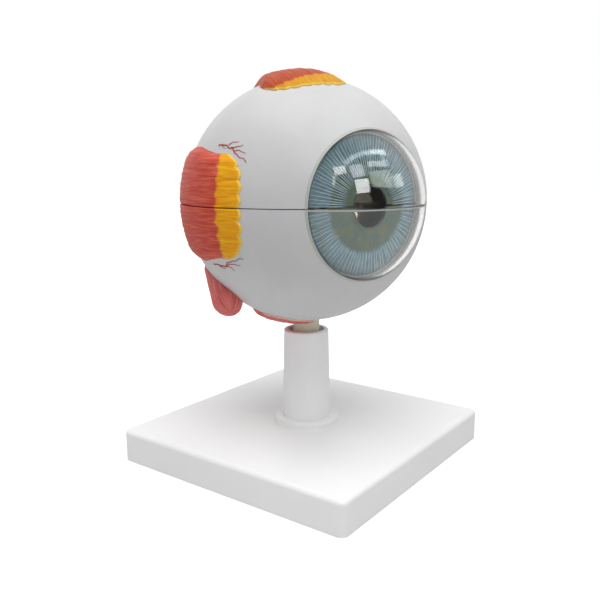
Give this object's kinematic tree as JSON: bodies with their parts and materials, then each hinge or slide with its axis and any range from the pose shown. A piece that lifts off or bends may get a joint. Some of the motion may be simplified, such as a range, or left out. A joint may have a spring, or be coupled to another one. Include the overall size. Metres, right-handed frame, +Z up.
{
  "type": "eye anatomy model",
  "caption": "Enlarged take-apart model of a right human eye: nested shells, lens and eye muscles, turning on a square white stand.",
  "frame": {"origin": "centre of the square base's underside, on the table and on the column's axis", "axes": "+Z up along the column, +X and +Y along the sides of the base; at rest the eye looks between -Y and -X, 19.5 degrees from -Y"},
  "size_m": [0.163, 0.163, 0.2355],
  "materials": {
    "stand_white": "moulded, satin gloss",
    "screw_steel": "zinc plated",
    "pin_brass": "turned",
    "peg_cream": "moulded, satin",
    "sclera_grey_white": "painted, satin",
    "cornea_clear": "polished, clear",
    "muscle_red": "hand painted, satin varnish",
    "oblique_red": "hand painted, satin varnish",
    "nerve_yellow": "hand painted",
    "choroid_red": "hand painted",
    "iris_blue_grey": "hand painted",
    "ciliary_brown": "hand painted",
    "vitreous_clear": "polished, clear",
    "lens_clear": "polished, clear"
  },
  "bodies": {
    "stand": {"base_plate": "stand_white", "column": "stand_white", "column_screw": "screw_steel", "column_washer": "screw_steel"},
    "lower_eye": {"sclera_lower": "sclera_grey_white", "cornea_lower": "cornea_clear", "lateral_rectus_lower": "muscle_red", "medial_rectus_lower": "muscle_red", "inferior_rectus": "muscle_red", "inferior_oblique": "oblique_red", "optic_nerve_lower": "nerve_yellow", "swivel_peg": "peg_cream", "locating_pins": "pin_brass"},
    "lower_choroid": {"choroid_lower": "choroid_red", "iris_lower": "iris_blue_grey", "ciliary_ring_lower": "ciliary_brown"},
    "vitreous": {"vitreous_body": "vitreous_clear"},
    "lens": {"lens": "lens_clear"},
    "upper_choroid": {"choroid_upper": "choroid_red", "iris_upper": "iris_blue_grey", "ciliary_ring_upper": "ciliary_brown"},
    "upper_eye": {"sclera_upper": "sclera_grey_white", "cornea_upper": "cornea_clear", "lateral_rectus_upper": "muscle_red", "medial_rectus_upper": "muscle_red", "superior_rectus": "muscle_red", "superior_oblique": "oblique_red", "optic_nerve_upper": "nerve_yellow"}
  },
  "joints": [
    {"name": "eye_swivel", "type": "hinge", "parent": "stand", "child": "lower_eye", "pos_m": [0, 0, 0.075], "axis": [0, 0, 1], "continuous": true},
    {"name": "upper_lift", "type": "slide", "parent": "lower_eye", "child": "upper_eye", "axis": [0, 0, 1], "range_m": [0, 0.28]},
    {"name": "upper_choroid_lift", "type": "slide", "parent": "lower_eye", "child": "upper_choroid", "axis": [0, 0, 1], "range_m": [0, 0.211]},
    {"name": "vitreous_lift", "type": "slide", "parent": "lower_eye", "child": "vitreous", "axis": [0, 0, 1], "range_m": [0, 0.141]},
    {"name": "lower_choroid_lift", "type": "slide", "parent": "lower_eye", "child": "lower_choroid", "axis": [0, 0, 1], "range_m": [0, 0.071]},
    {"name": "lens_forward", "type": "slide", "parent": "vitreous", "child": "lens", "axis": [-0.3338, -0.9426, 0], "range_m": [0, 0.029]}
  ],
  "couplings": [
    {"joint": "upper_choroid_lift", "follows": "upper_lift", "ratio": 0.75},
    {"joint": "vitreous_lift", "follows": "upper_lift", "ratio": 0.5},
    {"joint": "lower_choroid_lift", "follows": "upper_lift", "ratio": 0.25},
    {"joint": "lens_forward", "follows": "upper_lift", "ratio": 0.1}
  ]
}
